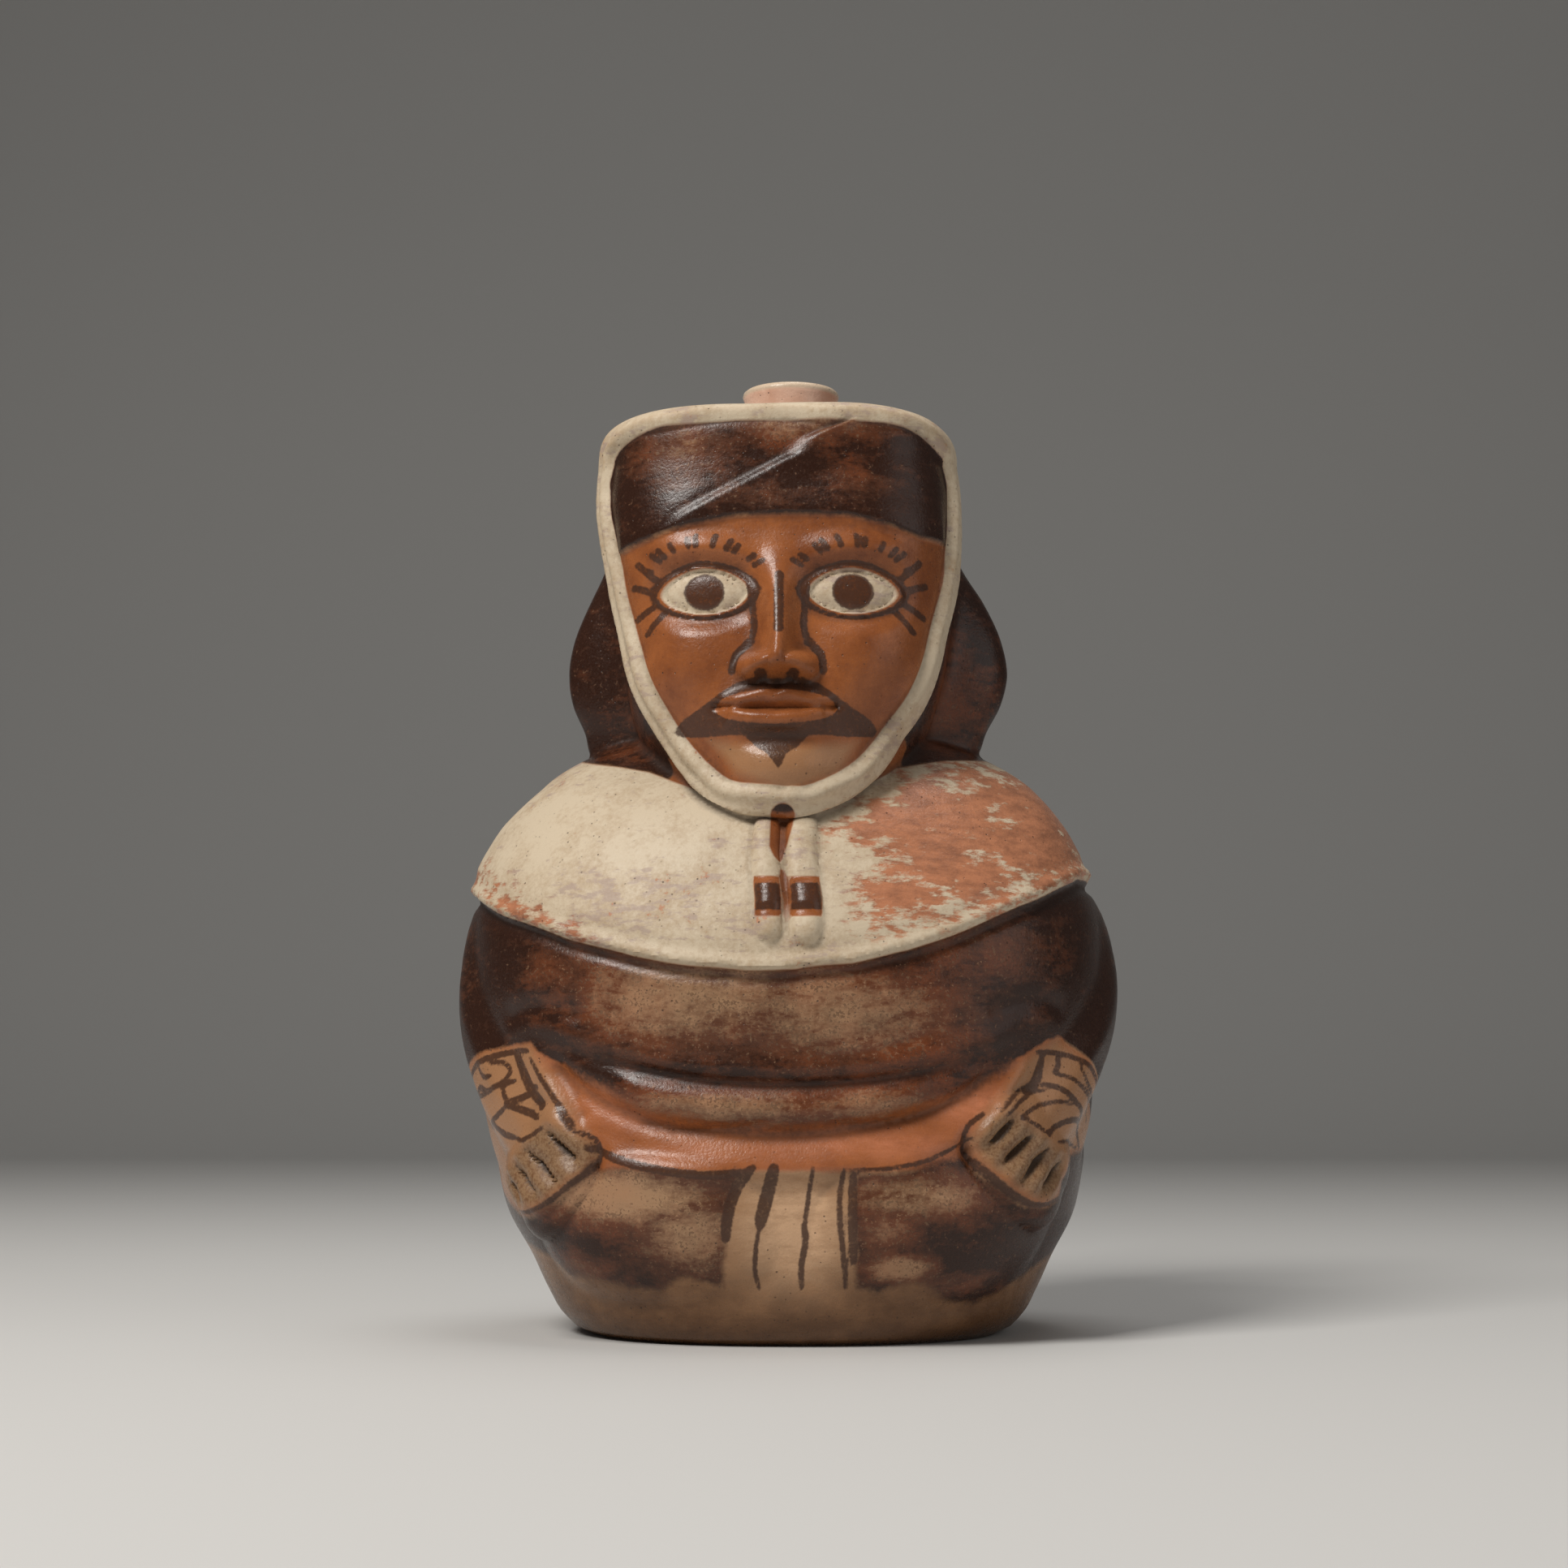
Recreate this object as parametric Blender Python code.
"""Effigy vessel of fired clay: a seated, cloaked figure, hollow, with a stirrup handle and spout behind its head.

Metres, +Z up. The figure faces -Y and sits on z = 0, with the origin under the middle of its base.
The clay skin is a net of points round the standing axis. Its plain form comes from three lofts, the torso, the
head and the hair, whose sections melt into each other. The modelled work on it, such as the cape's edge, the
arms or the chin strap, is raised from that form along its normal.
The figure is drawn in shares of its height, 213 shares tall, so a share is about a millimetre. A place on the skin
is an azimuth in degrees, from the front and positive toward +X, with a rise, which is the height in shares.
"""

import math

import bpy
import bmesh
import numpy as np

MM = 0.001

# Driving sizes
FIGURE_HEIGHT = 213 * MM
WALL = 5.0 * MM
FLOOR_THICKNESS = 7.0 * MM
TUBE_RADIUS = 9.5 * MM
TUBE_WALL = 3.0 * MM
TUBE_FOOT_FLARE = 3.5 * MM
STIRRUP_BACK = 75 * MM
STIRRUP_TOP = 197 * MM
SPOUT_FROM_AXIS = 50 * MM
SPOUT_SIDEWAYS = 0.66 * MM
SPOUT_TOP = 240 * MM
SPOUT_RADIUS = 11.2 * MM
SPOUT_RIM_RADIUS = 12.8 * MM
SPOUT_RIM_FLARE = 9.0 * MM
SPOUT_WALL = 3.2 * MM

FIGURE_SHARES = 213.0
SHARE = FIGURE_HEIGHT / FIGURE_SHARES

# How finely the clay skin is worked out, and how many triangles are kept of it
COLUMNS = 220
SIDE_ROWS = 190
CROWN_ROWS = 26
KEPT_TRIANGLES = 6600
CAVITY_COLUMNS = 26
CAVITY_ROWS = 24
TUBE_SIDES = 16
BORE_SIDES = 12
GROUND_CUT = 2.0 * MM

# Lofts: height, half width, depth in front, depth behind, squareness in front and behind
TORSO = np.array([
    (0.0, 47.6, 43.4, 42.5, 2.3, 2.2),
    (1.2, 50.4, 45.8, 44.8, 2.3, 2.2),
    (4.0, 53.6, 48.2, 47.4, 2.3, 2.2),
    (10.0, 57.2, 50.5, 50.5, 2.3, 2.2),
    (18.0, 61.2, 52.5, 54.0, 2.3, 2.2),
    (27.0, 66.4, 54.5, 57.5, 2.3, 2.2),
    (38.0, 69.4, 56.0, 60.5, 2.3, 2.2),
    (50.0, 71.6, 57.5, 62.5, 2.3, 2.2),
    (62.0, 73.0, 59.0, 63.5, 2.3, 2.2),
    (74.0, 74.6, 60.0, 63.0, 2.3, 2.2),
    (84.0, 75.2, 60.0, 61.5, 2.3, 2.2),
    (95.0, 74.8, 58.5, 58.5, 2.3, 2.2),
    (104.0, 72.6, 55.5, 54.5, 2.3, 2.2),
    (112.0, 69.8, 51.5, 50.0, 2.3, 2.2),
    (119.5, 66.4, 46.0, 45.0, 2.3, 2.2),
    (126.0, 61.2, 40.0, 40.5, 2.3, 2.2),
    (131.5, 54.8, 33.0, 36.5, 2.2, 2.1),
    (136.0, 46.4, 26.0, 31.0, 2.1, 2.1),
    (140.0, 36.0, 20.0, 25.0, 2.0, 2.0),
    (144.0, 22.0, 14.0, 17.0, 2.0, 2.0),
    (148.0, 8.0, 8.0, 8.0, 2.0, 2.0),
])
HEAD = np.array([
    (106.0, 6.0, 30.0, 8.0, 2.2, 2.2),
    (112.0, 14.0, 42.0, 16.0, 2.2, 2.2),
    (117.0, 21.0, 49.0, 24.0, 2.2, 2.2),
    (122.0, 26.0, 51.5, 29.0, 2.3, 2.2),
    (128.0, 29.6, 52.3, 33.0, 2.4, 2.2),
    (136.0, 33.0, 52.3, 36.5, 2.6, 2.3),
    (146.0, 36.2, 51.8, 39.0, 2.9, 2.3),
    (158.0, 38.6, 51.4, 41.0, 3.2, 2.4),
    (170.0, 40.4, 51.0, 41.5, 3.5, 2.4),
    (182.0, 41.6, 50.5, 40.5, 3.7, 2.4),
    (192.0, 42.0, 50.0, 38.5, 3.8, 2.4),
    (200.0, 41.4, 49.2, 36.0, 3.8, 2.4),
])
HAIR = np.array([
    (127.0, 34.0, 6.0, 32.0, 2.0, 2.2),
    (132.0, 43.0, 9.0, 38.0, 2.0, 2.2),
    (137.0, 47.0, 11.0, 42.0, 2.0, 2.2),
    (142.0, 48.6, 12.0, 45.0, 2.0, 2.2),
    (149.0, 52.0, 13.0, 48.0, 2.0, 2.2),
    (156.0, 53.4, 13.5, 49.5, 2.0, 2.2),
    (164.0, 52.2, 13.5, 49.5, 2.0, 2.2),
    (172.0, 49.0, 13.0, 47.5, 2.0, 2.2),
    (180.0, 44.6, 12.0, 44.0, 2.0, 2.2),
    (187.0, 39.4, 10.0, 39.5, 2.0, 2.2),
    (196.0, 31.0, 8.0, 32.0, 2.0, 2.2),
])
HEAD_BLEND = 2.5
HAIR_BLEND = 5.0

# The crown closes over the head's top section
CROWN_START = 200.0
CROWN_RISE = 13.2
CROWN_SQUARENESS = 4.8
CROWN_FALL = 0.11
CROWN_RUN = 50.0

# The head leans and turns a little to the figure's right
LEAN = np.array([
    (0.0, 1.2), (20.0, 0.7), (45.0, -0.1), (63.0, -0.6), (84.0, 0.0), (98.0, -0.3), (108.0, -1.6), (119.0, -1.2),
    (128.0, -0.4), (137.0, -1.3), (145.0, -1.0), (156.0, -0.4), (175.0, -0.8), (190.0, -1.9), (214.0, -2.2),
])
HEAD_TURN = -2.0

# The rolled strap round the hood's opening and under the chin
STRAP_TRAIL = (
    (0, 119.5), (-14.8, 121.5), (-25.5, 128.5), (-33.5, 138.5), (-41, 151.5), (-46.5, 164), (-49.5, 178.5),
    (-52, 190), (-52.5, 198), (-47, 207), (-36, 216), (-18, 219), (0, 219.5), (16, 219), (33, 217),
    (44, 208), (51.5, 199), (52, 190), (50, 180), (47, 168), (42.5, 157), (37.5, 144.5), (29.5, 134.5),
    (18.5, 125.7), (7, 120.3), (0, 119.5),
)
STRAP_HALF_WIDTH = 4.0
STRAP_HEIGHT = 2.2

# The two tied ends of the strap on the chest: middle azimuth, half width, and top and bottom rises
STRAP_ENDS = ((-4.6, 3.1, 118.0, 88.5), (3.4, 3.4, 118.0, 88.0))
STRAP_END_HEIGHT = 1.6

# Rise of the cape's lower edge, all round
CAPE_EDGE = np.array([
    (-180, 99), (-140, 101.5), (-105, 104), (-77.4, 101.4), (-56.8, 94.2), (-45, 89.4), (-31.6, 85.4), (-20.4, 83.6),
    (-8.8, 82.3), (1.2, 82.2), (13, 83.6), (24.4, 86.8), (37.8, 92.4), (49, 97.4), (71.6, 105.2), (105, 106),
    (140, 102), (180, 99),
])
CAPE_STEP = 1.7
CAPE_FADE = 24.0

# Folds: trail, half width and height, which is negative for a crease
CREASES = (
    (((-56, 69), (-47, 66.6), (-35.6, 63), (-20.8, 60), (-2.2, 58.6), (15, 59.4), (29.8, 62), (44.6, 66.6)), 2.4, -1.6),
    (((-51, 66), (-46.4, 58.6), (-36.6, 50.6), (-21.4, 46.2), (-4, 45.4), (13.6, 46.2), (30.6, 50.6), (40, 57),
      (47, 65)), 2.8, -2.0),
    (((-36, 57), (-21, 53), (-4, 52), (14, 53), (30, 57)), 4.6, 1.3),
    (((-57, 67), (-50.5, 57), (-43.5, 46), (-38, 42), (-30.6, 39.8), (-18.4, 38.6), (-2, 38.4), (12, 39),
      (22.6, 40.6), (38, 47), (46, 57), (53, 67)), 3.4, 2.0),
    (((15.4, 207), (8.2, 202.6), (0.8, 199), (-6.8, 195.8), (-13, 193), (-19, 189.8), (-24.2, 186.2), (-29, 182)),
     1.5, 1.0),
)
CAP_EDGE = np.array([
    (-43, 179), (-33, 180.8), (-22.4, 183.6), (-12.4, 185.2), (0, 185.8), (16.2, 185.4), (26, 183.4), (34, 181.2),
    (42, 181.2),
])
CAP_STEP = 0.9

# Swellings: azimuth, rise, half width, half height, tilt in degrees, height, squareness, softness of the edge
LIMBS = (
    (-36, 26, 31, 17.0, 0, 4.6, 2.4, 1.0),
    (37, 26, 31, 17.0, 0, 4.6, 2.4, 1.0),
)
HANDS = (
    (-54.5, 38.5, 16.0, 12.0, -40, 4.4, 2.6, 0.55),
    (52.5, 41.0, 16.0, 12.5, 40, 4.4, 2.6, 0.55),
)

# Arms: trail, half width and height
ARMS = (
    (((-87, 106), (-86, 94), (-82, 80), (-75, 68), (-67, 57), (-59, 47), (-55, 41)), 13.0, 3.4),
    (((87, 106), (86, 94), (82, 80), (74, 68), (65, 58), (57, 49), (53, 43)), 13.0, 3.4),
)
FINGER_GAPS = (
    ((-50.2, 47.5), (-45.6, 40.0)),
    ((-55.4, 43.4), (-51.0, 35.4)),
    ((-61.4, 39.6), (-56.2, 31.8)),
    ((-66.0, 36.0), (-62.4, 29.6)),
    ((47.8, 50.0), (42.2, 42.2)),
    ((53.2, 46.4), (47.2, 38.4)),
    ((58.6, 42.2), (52.0, 33.6)),
    ((65.0, 38.8), (58.4, 31.6)),
)
FINGER_GAP_HALF_WIDTH = 1.8
FINGER_GAP_DEPTH = 2.4

# The face, in shares across from its middle line and up: each swelling is across, up, half width, half height, height
# and softness, and those off the middle are made on both sides
FACE = (
    (17.0, 177.6, 13.0, 4.6, 2.0, 1.6),
    (17.2, 168.0, 14.0, 9.6, -3.6, 1.6),
    (16.8, 167.6, 9.0, 5.8, 3.6, 0.8),
    (23.0, 151.0, 15.0, 14.0, 2.2, 1.6),
    (0.0, 141.0, 20.0, 11.0, 2.6, 1.6),
    (0.0, 143.4, 13.0, 3.2, 1.9, 1.2),
    (0.0, 138.2, 10.5, 3.6, 2.2, 1.2),
    (0.0, 140.9, 13.5, 1.1, -1.8, 1.2),
    (0.0, 133.6, 9.0, 3.0, -1.2, 1.6),
    (0.0, 127.4, 13.0, 7.5, 3.2, 1.6),
    (5.4, 150.6, 5.2, 4.8, 3.6, 1.7),
)
NOSE_PROFILE = np.array([
    (146.2, 0.0, 7.4), (147.2, 1.6, 7.0), (148.2, 5.4, 6.5), (149.3, 8.6, 6.1), (150.6, 10.2, 5.7), (152.2, 10.6, 5.3),
    (154.5, 10.2, 4.9), (158.0, 9.0, 4.5), (163.0, 7.2, 4.2), (168.0, 5.3, 4.2), (173.0, 3.5, 4.8),
    (178.0, 1.4, 6.4), (182.0, 0.2, 8.0), (184.0, 0.0, 8.0),
])


def curve_through(stations, at):
    """Smooth curves through the stations. The first column is the height, and each other one is a curve."""
    knots, values = stations[:, 0], stations[:, 1:]
    slopes = np.gradient(values, knots, axis=0)
    i = np.clip(np.searchsorted(knots, at, side="right") - 1, 0, len(knots) - 2)
    span = knots[i + 1] - knots[i]
    t = np.clip((at - knots[i]) / span, 0.0, 1.0)[..., None]
    span = span[..., None]
    return (
        values[i] * (1 + 2 * t) * (1 - t) ** 2
        + values[i + 1] * t**2 * (3 - 2 * t)
        + slopes[i] * span * t * (1 - t) ** 2
        + slopes[i + 1] * span * t**2 * (t - 1)
    )


def loft_radius(loft, azimuth, height):
    """Radius of a loft at an azimuth from the front, and a height. It shrinks to nothing past its ends."""
    side, front, back, front_square, back_square = np.moveaxis(curve_through(loft, height), -1, 0)
    facing = np.cos(azimuth) > 0
    depth = np.where(facing, front, back)
    power = np.where(facing, front_square, back_square)
    across = (np.abs(np.sin(azimuth)) / side) ** power
    along = (np.abs(np.cos(azimuth)) / depth) ** power
    inside = (height >= loft[0, 0]) & (height <= loft[-1, 0])
    return np.where(inside, (across + along) ** (-1 / power), 1.0)


def smooth_max(a, b, blend):
    """The larger of two radii, melted together where they differ by less than the blend."""
    near = np.maximum(blend - np.abs(a - b), 0.0)
    return np.maximum(a, b) + near**2 / (4 * blend)


def form_radius(azimuth, height):
    """Radius of the figure's plain form."""
    turned = azimuth - math.radians(HEAD_TURN)
    radius = smooth_max(loft_radius(TORSO, azimuth, height), loft_radius(HEAD, turned, height), HEAD_BLEND)
    return smooth_max(radius, loft_radius(HAIR, turned, height), HAIR_BLEND)


def form_points(azimuth, rise):
    """Points of the plain form, in shares. Past the crown's start the rise runs on over the top of the head."""
    turn = np.clip((rise - CROWN_START) / CROWN_RUN, 0.0, 1.0) * (math.pi / 2)
    spread = np.cos(turn) ** (2 / CROWN_SQUARENESS)
    lift = np.sin(turn) ** (2 / CROWN_SQUARENESS)
    height = np.minimum(rise, CROWN_START)
    radius = form_radius(azimuth, height) * spread
    lean = np.interp(height, LEAN[:, 0], LEAN[:, 1])
    x = radius * np.sin(azimuth)
    y = -radius * np.cos(azimuth)
    front = HEAD[-1, 2]
    z = height + lift * (CROWN_RISE - CROWN_FALL * (y + front))
    return np.stack([x + lean, y, z], axis=-1)


def net_normals(points):
    """Outward normals of a net of points, whose rings are closed."""
    along = np.roll(points, -1, axis=1) - np.roll(points, 1, axis=1)
    up = np.gradient(points, axis=0)
    normals = np.cross(along, up)
    return normals / np.linalg.norm(normals, axis=2, keepdims=True)


def soft_step(value, start, end):
    """0 before the start, 1 past the end and smooth between them."""
    t = np.clip((value - start) / (end - start), 0.0, 1.0)
    return t**2 * (3 - 2 * t)


def trail_points(places, count=28):
    """Points on the plain form along a smooth trail through places, each an azimuth and a rise."""
    knots = np.column_stack([np.arange(len(places)), np.array(places, dtype=float)])
    azimuth, rise = curve_through(knots, np.linspace(0, len(places) - 1, count)).T
    return form_points(np.radians(azimuth), rise)


def trail_distance(points, trail):
    """Distance of each point from a trail, and how far along it the nearest place is, from 0 to 1."""
    nearest = np.full(points.shape[:-1], np.inf)
    along = np.zeros(points.shape[:-1])
    last = len(trail) - 1
    for i in range(last):
        step = trail[i + 1] - trail[i]
        t = np.clip((points - trail[i]) @ step / (step @ step), 0.0, 1.0)
        gap = np.linalg.norm(points - trail[i] - t[..., None] * step, axis=-1)
        closer = gap < nearest
        nearest = np.where(closer, gap, nearest)
        along = np.where(closer, (i + t) / last, along)
    return nearest, along


def swelling(across, up, half_width, half_height, squareness, softness):
    """A rounded rise, 1 in the middle and 0 past its half width and half height. A soft one has a gentle edge."""
    reach = np.abs(across / half_width) ** squareness + np.abs(up / half_height) ** squareness
    return np.clip(1 - reach, 0.0, 1.0) ** softness


def strap_relief(points, azimuth, rise):
    distance, _ = trail_distance(points, trail_points(STRAP_TRAIL, 90))
    height = STRAP_HEIGHT * (1 - soft_step(distance, STRAP_HALF_WIDTH * 0.45, STRAP_HALF_WIDTH * 1.15))
    for middle, half_width, top, bottom in STRAP_ENDS:
        distance, _ = trail_distance(points, trail_points(((middle, top), (middle, bottom)), 6))
        end = STRAP_END_HEIGHT * (1 - soft_step(distance, half_width * 0.5, half_width * 1.1))
        height = np.maximum(height, end)
    return height


def cape_relief(azimuth, rise):
    above = rise - np.interp(np.degrees(azimuth), CAPE_EDGE[:, 0], CAPE_EDGE[:, 1])
    overhang = CAPE_STEP * soft_step(above, -0.9, 0.9) * (1 - soft_step(above, 2.0, CAPE_FADE))
    crease = -0.7 * np.exp(-(((above + 2.2) / 1.8) ** 2))
    return overhang + crease


def crease_relief(points):
    height = np.zeros(points.shape[:-1])
    for places, half_width, lift in CREASES:
        distance, along = trail_distance(points, trail_points(places))
        fading = soft_step(along, 0.0, 0.12) * (1 - soft_step(along, 0.88, 1.0))
        height += lift * fading * np.exp(-((distance / half_width) ** 2))
    return height


def lump(points, azimuth, rise, place):
    """A swelling of the skin about a place, turned by its tilt."""
    middle, middle_rise, half_width, half_height, tilt, lift, squareness, softness = place
    across = np.hypot(points[..., 0], points[..., 1]) * (azimuth - math.radians(middle))
    up = rise - middle_rise
    cosine, sine = math.cos(math.radians(tilt)), math.sin(math.radians(tilt))
    along, over = across * cosine - up * sine, across * sine + up * cosine
    return lift * swelling(along, over, half_width, half_height, squareness, softness)


def limb_relief(points, azimuth, rise):
    height = sum(lump(points, azimuth, rise, place) for place in LIMBS)
    for hand, (places, half_width, lift) in zip(HANDS, ARMS):
        distance, along = trail_distance(points, trail_points(places))
        arm = lift * soft_step(along, 0.0, 0.4) * (1 - soft_step(distance, 0.2 * half_width, half_width))
        height = height + np.maximum(arm, lump(points, azimuth, rise, hand))
    for gap in FINGER_GAPS:
        distance, along = trail_distance(points, trail_points(gap, 6))
        half_width = FINGER_GAP_HALF_WIDTH * (0.45 + 0.55 * along)
        height -= FINGER_GAP_DEPTH * (1 - soft_step(distance, 0.3 * half_width, half_width))
    return height


def face_relief(points, azimuth, rise):
    turned = azimuth - math.radians(HEAD_TURN)
    across = np.hypot(points[..., 0], points[..., 1]) * np.sin(turned)
    facing = (np.cos(turned) > 0.3) & (rise > 116.0) & (rise < 190.0)
    height = np.zeros(rise.shape)
    for middle, up, half_width, half_height, lift, softness in FACE:
        for side in (-1.0, 1.0) if middle else (1.0,):
            height += lift * swelling(across - side * middle, rise - up, half_width, half_height, 2.0, softness)
    ridge = np.interp(rise, NOSE_PROFILE[:, 0], NOSE_PROFILE[:, 1])
    half_width = np.interp(rise, NOSE_PROFILE[:, 0], NOSE_PROFILE[:, 2])
    height += ridge * np.exp(-(np.abs(across / half_width) ** 2.4))
    cap = np.interp(np.degrees(azimuth), CAP_EDGE[:, 0], CAP_EDGE[:, 1])
    brow_to_strap = (np.degrees(azimuth) > CAP_EDGE[0, 0]) & (np.degrees(azimuth) < CAP_EDGE[-1, 0])
    hem = CAP_STEP * soft_step(rise - cap, -0.6, 0.6) * (1 - soft_step(rise - cap, 1.0, 12.0))
    return np.where(facing, height, 0.0) + np.where(brow_to_strap, hem, 0.0)


def relief(points, azimuth, rise):
    """How far the modelled work stands out of the plain form, in shares."""
    height = strap_relief(points, azimuth, rise)
    height += cape_relief(azimuth, rise)
    height += crease_relief(points)
    height += limb_relief(points, azimuth, rise)
    return height + face_relief(points, azimuth, rise)


def net_mesh(name, points, bottom, top):
    """A closed mesh from rings of points, bottom ring first, with a point in the middle of each end."""
    mesh = bmesh.new()
    rings = [[mesh.verts.new(p) for p in ring] for ring in points]
    first, last = mesh.verts.new(bottom), mesh.verts.new(top)
    for i in range(points.shape[1]):
        j = (i + 1) % points.shape[1]
        mesh.faces.new((rings[0][j], rings[0][i], first))
        mesh.faces.new((rings[-1][i], rings[-1][j], last))
        for lower, upper in zip(rings, rings[1:]):
            mesh.faces.new((lower[i], lower[j], upper[j], upper[i]))
    data = bpy.data.meshes.new(name)
    mesh.to_mesh(data)
    mesh.free()
    return data


def build_skin():
    """The clay skin outside, carried a little below the ground, where it is cut flat."""
    even = np.linspace(-math.pi, math.pi, COLUMNS, endpoint=False)
    azimuth = even - 0.55 * np.sin(even)
    side = np.linspace(0.0, CROWN_START, SIDE_ROWS, endpoint=False)
    crown = CROWN_START + CROWN_RUN * np.linspace(0.0, 1.0, CROWN_ROWS, endpoint=False)
    azimuth, rise = np.meshgrid(azimuth, np.concatenate([side, crown]))
    points = form_points(azimuth, rise)
    points = points + net_normals(points) * relief(points, azimuth, rise)[..., None]
    points[0, :, 2] = 0.0
    below = points[:1] + np.array([0.0, 0.0, -GROUND_CUT / SHARE])
    points = np.concatenate([below, points]) * SHARE
    return net_mesh("clay_skin", points, points[0].mean(axis=0), points[-1].mean(axis=0))


def build_cavity():
    """The hollow inside: the plain form drawn in by the wall on every side."""
    wall = (WALL / SHARE) + 1.2
    azimuth = np.linspace(-math.pi, math.pi, CAVITY_COLUMNS, endpoint=False)
    floor = FLOOR_THICKNESS / SHARE
    side = np.linspace(floor, CROWN_START, CAVITY_ROWS)
    azimuth, rise = np.meshgrid(azimuth, side)
    radius = np.full(rise.shape, np.inf)
    for climb in np.linspace(-1.0, 1.0, 7):
        for turn in np.linspace(-1.0, 1.0, 5):
            height = np.clip(rise + climb * wall, 0.0, CROWN_START)
            near = form_radius(azimuth + turn * wall / 50.0, height)
            left = wall**2 - (climb * wall) ** 2 - (turn * wall * near / 50.0) ** 2
            radius = np.minimum(radius, near - np.sqrt(np.maximum(left, 0.0)))
    lean = np.interp(rise, LEAN[:, 0], LEAN[:, 1])
    rings = [np.stack([radius * np.sin(azimuth) + lean, -radius * np.cos(azimuth), rise], axis=-1)]
    rim = rings[0][-1]
    middle = rim.mean(axis=0)
    for share in (0.9, 0.55):
        ring = middle + (rim - middle) * share
        lift = (1 - share**CROWN_SQUARENESS) ** (1 / CROWN_SQUARENESS)
        ring[:, 2] = CROWN_START + lift * (CROWN_RISE - wall - CROWN_FALL * (ring[:, 1] + HEAD[-1, 2]))
        rings.append(ring[None])
    points = np.concatenate(rings) * SHARE
    foot = points[0].mean(axis=0)
    foot[2] = points[0, 0, 2]
    return net_mesh("hollow", points, foot, points[-1].mean(axis=0))


def rounded_trail(corners, count):
    """A smooth trail through corners in the plane across the figure's middle, each a depth and a height."""
    knots = np.column_stack([np.arange(len(corners)), np.array(corners)])
    depth, height = curve_through(knots, np.linspace(0, len(corners) - 1, count)).T
    return np.column_stack([np.full(count, SPOUT_SIDEWAYS), depth, height])


def tube_mesh(name, trail, radii, sides):
    """A closed tube of the given radii along a trail that stays in the plane across the figure's middle."""
    heading = np.gradient(trail, axis=0)
    heading /= np.linalg.norm(heading, axis=1, keepdims=True)
    sideways = np.array([1.0, 0.0, 0.0])
    upward = np.cross(sideways, heading)
    turn = np.linspace(0, 2 * math.pi, sides, endpoint=False)[None, :, None]
    rings = trail[:, None] + radii[:, None, None] * (np.cos(turn) * upward[:, None] + np.sin(turn) * sideways)
    return net_mesh(name, rings, trail[0], trail[-1])


def stirrup_trail(count):
    """The stirrup's middle line, from inside the head, up and back, and down into the back."""
    return rounded_trail((
        (16 * MM, 172 * MM),
        (32 * MM, STIRRUP_TOP - 10 * MM),
        (SPOUT_FROM_AXIS, STIRRUP_TOP),
        (STIRRUP_BACK - 6 * MM, STIRRUP_TOP - 15 * MM),
        (STIRRUP_BACK, STIRRUP_TOP - 38 * MM),
        (STIRRUP_BACK - 6 * MM, STIRRUP_TOP - 61 * MM),
        (SPOUT_FROM_AXIS + 4 * MM, STIRRUP_TOP - 80 * MM),
        (30 * MM, STIRRUP_TOP - 92 * MM),
    ), count)


def build_stirrup():
    trail = stirrup_trail(26)
    t = np.linspace(0.0, 1.0, len(trail))
    foot = np.exp(-(((t - 0.2) / 0.05) ** 2)) + np.exp(-(((t - 0.87) / 0.05) ** 2))
    return tube_mesh("stirrup", trail, TUBE_RADIUS + TUBE_FOOT_FLARE * foot, TUBE_SIDES)


def build_stirrup_bore():
    trail = stirrup_trail(22)
    return tube_mesh("stirrup_bore", trail, np.full(len(trail), TUBE_RADIUS - TUBE_WALL), BORE_SIDES)


def spout_mesh(name, profile, sides):
    """A closed turned shape on the spout's axis from a profile of radii and heights."""
    turn = np.linspace(0, 2 * math.pi, sides, endpoint=False)
    rings = np.array([
        [(SPOUT_SIDEWAYS + radius * math.sin(t), SPOUT_FROM_AXIS - radius * math.cos(t), height) for t in turn]
        for radius, height in profile
    ])
    return net_mesh(name, rings, rings[0].mean(axis=0), rings[-1].mean(axis=0))


def build_spout():
    rim = SPOUT_TOP - SPOUT_RIM_FLARE
    return spout_mesh("spout", (
        (TUBE_RADIUS - 1.5 * MM, STIRRUP_TOP - 3 * MM),
        (SPOUT_RADIUS + 1.5 * MM, STIRRUP_TOP + 8 * MM),
        (SPOUT_RADIUS, STIRRUP_TOP + 14 * MM),
        (SPOUT_RADIUS, rim),
        (SPOUT_RIM_RADIUS - 0.4 * MM, SPOUT_TOP - 1.2 * MM),
        (SPOUT_RIM_RADIUS - 1.2 * MM, SPOUT_TOP),
    ), TUBE_SIDES)


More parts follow.
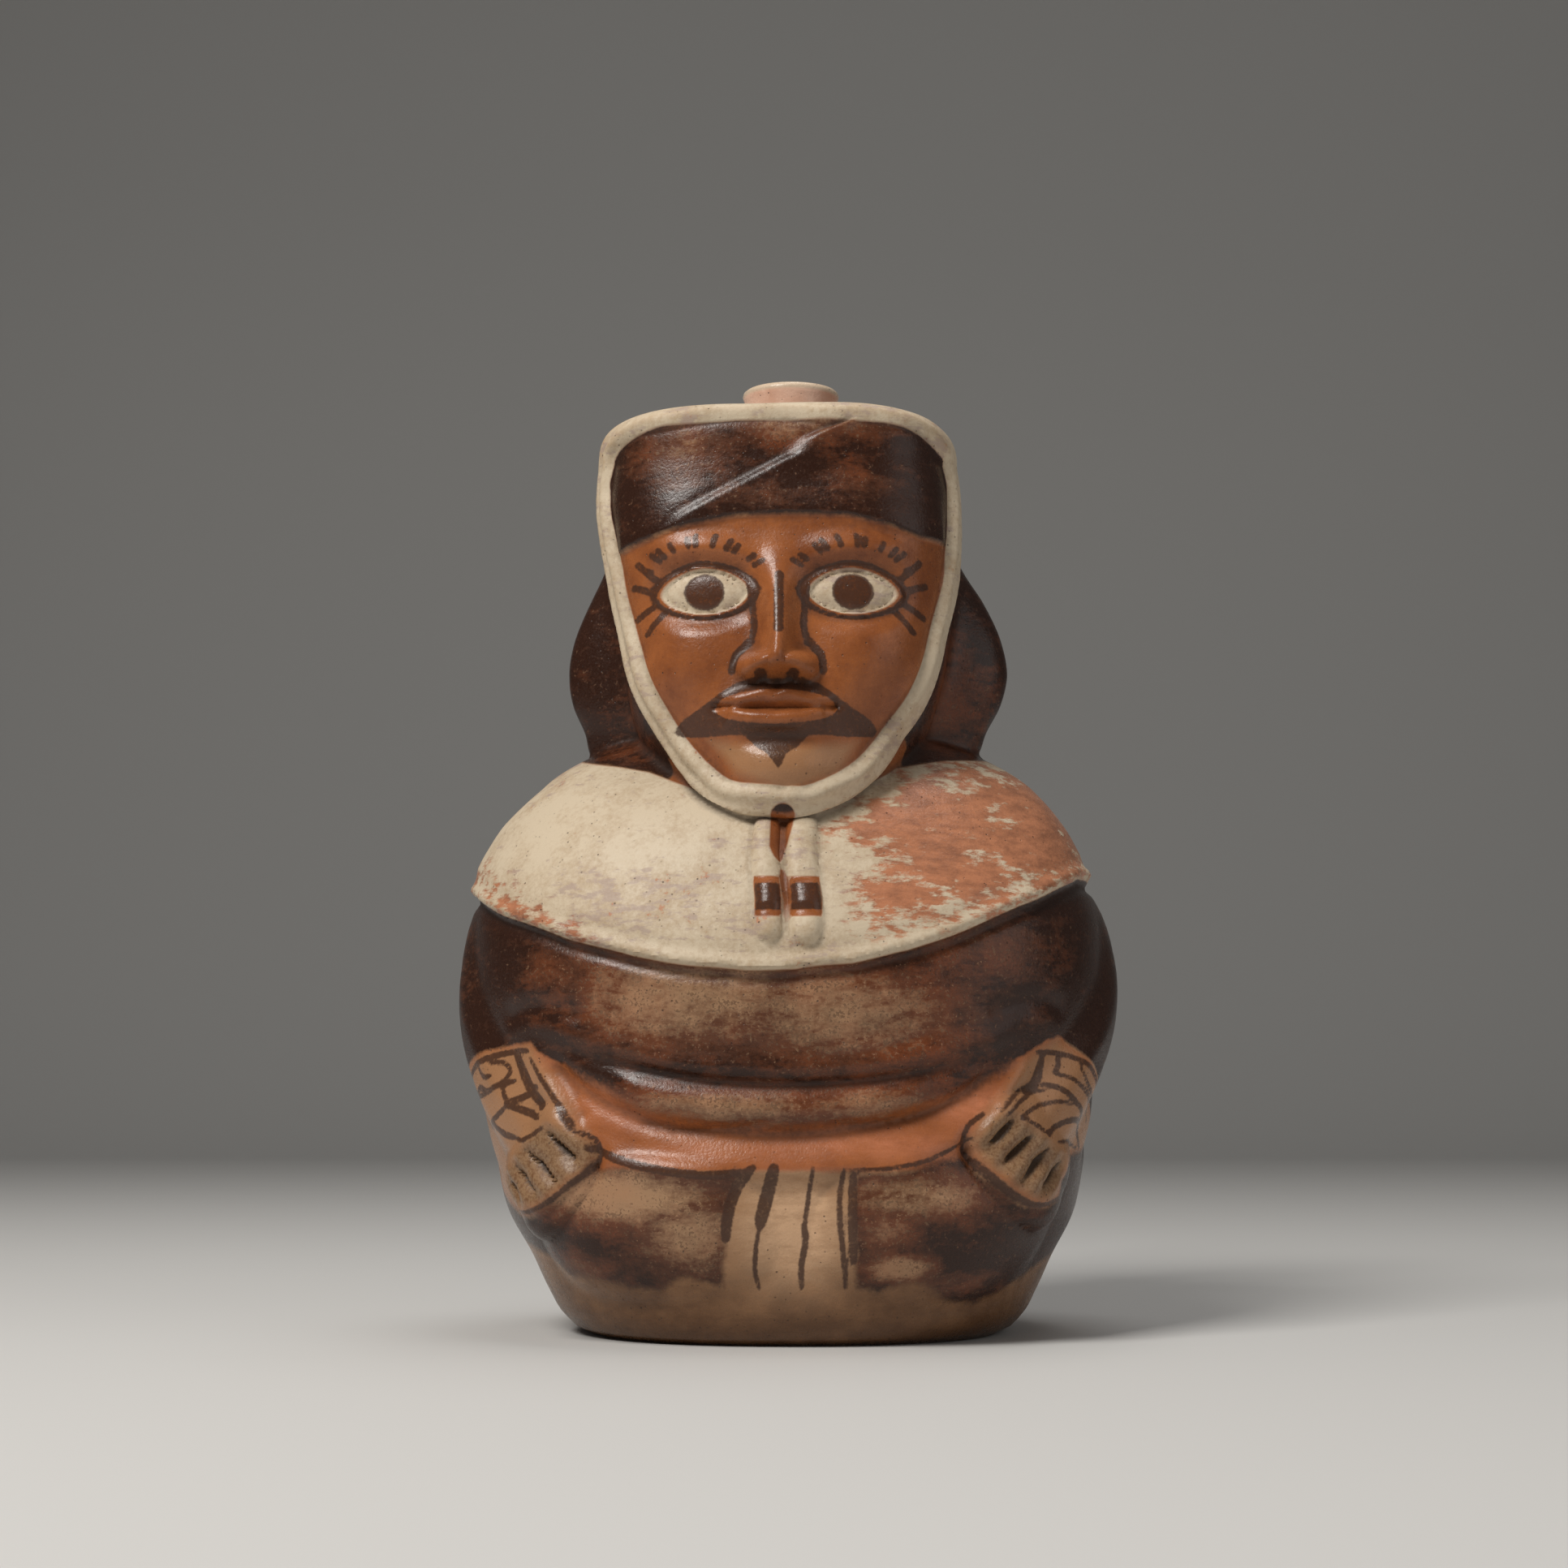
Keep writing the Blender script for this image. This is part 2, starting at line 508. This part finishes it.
def build_spout_bore():
    return spout_mesh("spout_bore", (
        (TUBE_RADIUS - TUBE_WALL, STIRRUP_TOP),
        (SPOUT_RADIUS - SPOUT_WALL, STIRRUP_TOP + 12 * MM),
        (SPOUT_RADIUS - SPOUT_WALL, SPOUT_TOP - SPOUT_RIM_FLARE),
        (SPOUT_RIM_RADIUS - 2.6 * MM, SPOUT_TOP + 3 * MM),
    ), TUBE_SIDES)


def build_ground():
    half = 120 * MM
    corners = [(x, y) for x, y in ((-half, -half), (half, -half), (half, half), (-half, half))]
    rings = np.array([[(x, y, z) for x, y in corners] for z in (-GROUND_CUT * 4, 0.0)])
    return net_mesh("ground", rings, (0, 0, -GROUND_CUT * 4), (0, 0, 0))


def fired_clay():
    clay = bpy.data.materials.new("fired_clay")
    clay.use_nodes = True
    shader = clay.node_tree.nodes["Principled BSDF"]
    shader.inputs["Base Color"].default_value = (0.36, 0.15, 0.07, 1.0)
    shader.inputs["Roughness"].default_value = 0.45
    return clay


def clear_scene():
    for thing in list(bpy.data.objects):
        bpy.data.objects.remove(thing)


def place(name, mesh):
    thing = bpy.data.objects.new(name, mesh)
    bpy.context.scene.collection.objects.link(thing)
    return thing


def work_on(body, name, mesh, operation):
    """Join a helper shape to the body, or cut it away, leaving the helper hidden."""
    helper = place(name, mesh)
    helper.hide_render = True
    helper.display_type = "WIRE"
    change = body.modifiers.new(name, "BOOLEAN")
    change.operation = operation
    change.solver = "EXACT"
    change.object = helper


def main():
    clear_scene()
    vessel = place("effigy_vessel", build_skin())
    vessel.data.materials.append(fired_clay())
    thin = vessel.modifiers.new("thin", "DECIMATE")
    thin.ratio = KEPT_TRIANGLES / (2 * COLUMNS * (SIDE_ROWS + CROWN_ROWS + 1))
    work_on(vessel, "stirrup", build_stirrup(), "UNION")
    work_on(vessel, "spout", build_spout(), "UNION")
    work_on(vessel, "hollow", build_cavity(), "DIFFERENCE")
    work_on(vessel, "stirrup_bore", build_stirrup_bore(), "DIFFERENCE")
    work_on(vessel, "spout_bore", build_spout_bore(), "DIFFERENCE")
    work_on(vessel, "ground", build_ground(), "DIFFERENCE")


main()
